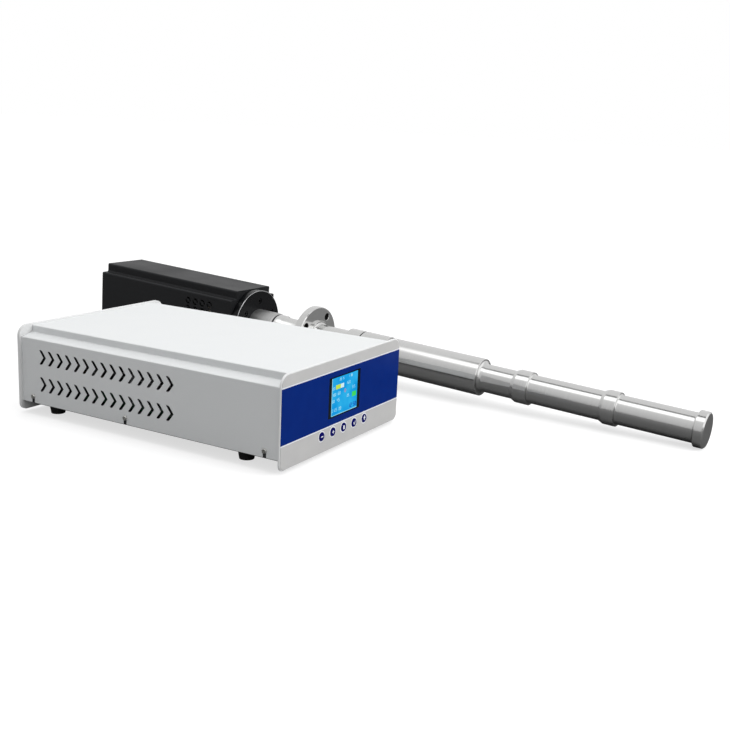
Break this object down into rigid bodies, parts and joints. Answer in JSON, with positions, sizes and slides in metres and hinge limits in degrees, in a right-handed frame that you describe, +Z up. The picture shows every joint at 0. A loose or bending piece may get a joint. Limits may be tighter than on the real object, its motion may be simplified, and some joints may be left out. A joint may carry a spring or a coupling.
{
  "type": "ultrasonic extractor",
  "caption": "Boxed ultrasonic generator with display and keys, and a separate transducer in a black housing with a flanged horn and a long round sonotrode.",
  "frame": {"origin": "on the bench, below the middle of the whole outline", "axes": "+Z up, -Y out of the generator's front panel, +X to the right seen from the front"},
  "size_m": [0.5264, 1.0449, 0.1251],
  "materials": {
    "light_paint": "fine satin powder coat, very light grey",
    "grey_film": "printed satin film, light grey with a dark blue band",
    "clear_window": "clear film window",
    "screen": "lit colour screen in a black frame",
    "blue_key": "dark blue keys with a pale sign",
    "circuit_board": "green circuit board",
    "black_plastic": "black moulded plastic, fine texture",
    "black_rubber": "black rubber",
    "zinc_steel": "zinc plated steel",
    "nickel": "nickel plated",
    "brass": "bright brass",
    "bare_aluminium": "extruded aluminium",
    "turned_metal": "fine turned finish, rings round the axis",
    "black_anodised": "satin black coating",
    "ceramic_ring": "fired ceramic with silvered faces",
    "red_rocker": "red rocker",
    "fuse_glass": "glass fuse with metal caps",
    "copper_winding": "wound copper wire under varnish",
    "ferrite": "dark ferrite",
    "capacitor_sleeve": "dark sleeve"
  },
  "bodies": {
    "generator": {"front_panel": "light_paint", "rear_panel": "light_paint", "top_cover": "light_paint", "base_tray": "zinc_steel", "panel_overlay": "grey_film", "display_window": "clear_window", "display_module": "screen", "tactile_switches": "black_plastic", "control_board": "circuit_board", "panel_standoffs": "nickel", "side_rails": "bare_aluminium", "rubber_feet": "black_rubber", "foot_screws": "zinc_steel", "cover_screws": "zinc_steel", "front_panel_screws": "zinc_steel", "rear_screws": "zinc_steel", "fan_frame": "black_plastic", "fan_guard": "nickel", "fan_screws": "zinc_steel", "inlet_pins": "nickel", "inlet_module": "black_plastic", "output_socket": "nickel", "output_insert": "black_plastic", "output_contacts": "brass", "earth_terminal": "brass", "board_posts": "nickel", "main_board": "circuit_board", "heat_sink": "bare_aluminium", "power_transistors": "black_plastic", "filter_capacitors": "capacitor_sleeve", "transformer_core": "ferrite", "transformer_winding": "copper_winding"},
    "left_key_cap": {"left_key": "blue_key"},
    "right_key_cap": {"right_key": "blue_key"},
    "menu_key_cap": {"menu_key": "blue_key"},
    "down_key_cap": {"down_key": "blue_key"},
    "up_key_cap": {"up_key": "blue_key"},
    "rocker": {"power_rocker": "red_rocker"},
    "drawer": {"fuse_drawer": "black_plastic", "fuse_link": "fuse_glass"},
    "fan": {"fan_rotor": "black_plastic"},
    "probe": {"sonotrode": "turned_metal", "flanged_horn": "turned_metal", "coupling_studs": "zinc_steel", "front_mass": "turned_metal", "piezo_rings": "ceramic_ring", "electrodes": "brass", "back_mass": "turned_metal", "prestress_bolt": "zinc_steel", "end_disc": "black_anodised", "clamp_screws": "zinc_steel", "disc_screws": "zinc_steel", "housing_front_plate": "black_anodised", "front_plate_screws": "zinc_steel", "transducer_housing": "black_anodised", "housing_rear_cover": "black_anodised", "rear_cover_screws": "zinc_steel", "transducer_socket": "nickel", "transducer_insert": "black_plastic", "transducer_contacts": "brass"}
  },
  "joints": [
    {"name": "left_key_press", "type": "slide", "parent": "generator", "child": "left_key_cap", "axis": [0, 1, 0], "range_m": [0, 0.0008], "stiffness_N_per_m": 1200},
    {"name": "right_key_press", "type": "slide", "parent": "generator", "child": "right_key_cap", "axis": [0, 1, 0], "range_m": [0, 0.0008], "stiffness_N_per_m": 1200},
    {"name": "menu_key_press", "type": "slide", "parent": "generator", "child": "menu_key_cap", "axis": [0, 1, 0], "range_m": [0, 0.0008], "stiffness_N_per_m": 1200},
    {"name": "down_key_press", "type": "slide", "parent": "generator", "child": "down_key_cap", "axis": [0, 1, 0], "range_m": [0, 0.0008], "stiffness_N_per_m": 1200},
    {"name": "up_key_press", "type": "slide", "parent": "generator", "child": "up_key_cap", "axis": [0, 1, 0], "range_m": [0, 0.0008], "stiffness_N_per_m": 1200},
    {"name": "rocker_tip", "type": "hinge", "parent": "generator", "child": "rocker", "pos_m": [-0.2212, 0.2523, 0.0735], "axis": [0, 0, -1], "range_deg": [0, 14]},
    {"name": "fuse_drawer_pull", "type": "slide", "parent": "generator", "child": "drawer", "axis": [0, 1, 0], "range_m": [0, 0.018]},
    {"name": "fan_spin", "type": "hinge", "parent": "generator", "child": "fan", "pos_m": [-0.0562, 0.2482, 0.061], "axis": [0, 1, 0], "continuous": true},
    {"name": "probe_lift", "type": "slide", "parent": "generator", "child": "probe", "axis": [0, 0, 1], "range_m": [0, 0.3]}
  ]
}
